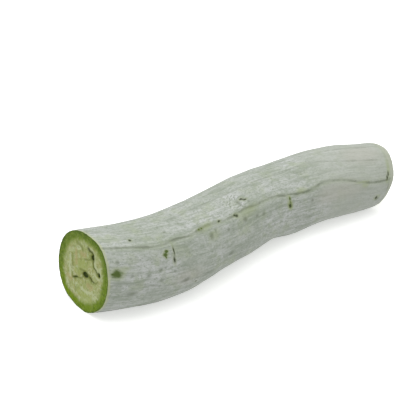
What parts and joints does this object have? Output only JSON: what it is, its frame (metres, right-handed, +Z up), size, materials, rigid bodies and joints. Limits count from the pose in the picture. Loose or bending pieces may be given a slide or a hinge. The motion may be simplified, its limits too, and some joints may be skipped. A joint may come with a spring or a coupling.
{
  "type": "snake gourd",
  "caption": "Cut length of pale, silvery snake gourd with a gentle double bend, green rim and pale flesh, lying on its side.",
  "frame": {"origin": "centre of the base of the bounding box, on the surface that the gourd lies on", "axes": "+X along the gourd from the near cut to the far cut, +Y across it, +Z up from the surface"},
  "size_m": [0.2604, 0.071, 0.0548],
  "materials": {
    "gourd": "waxy, pale silvery green skin with fine creases, and green-rimmed pale flesh at the cuts"
  },
  "bodies": {
    "root": {"snake_gourd": "gourd"}
  },
  "joints": []
}
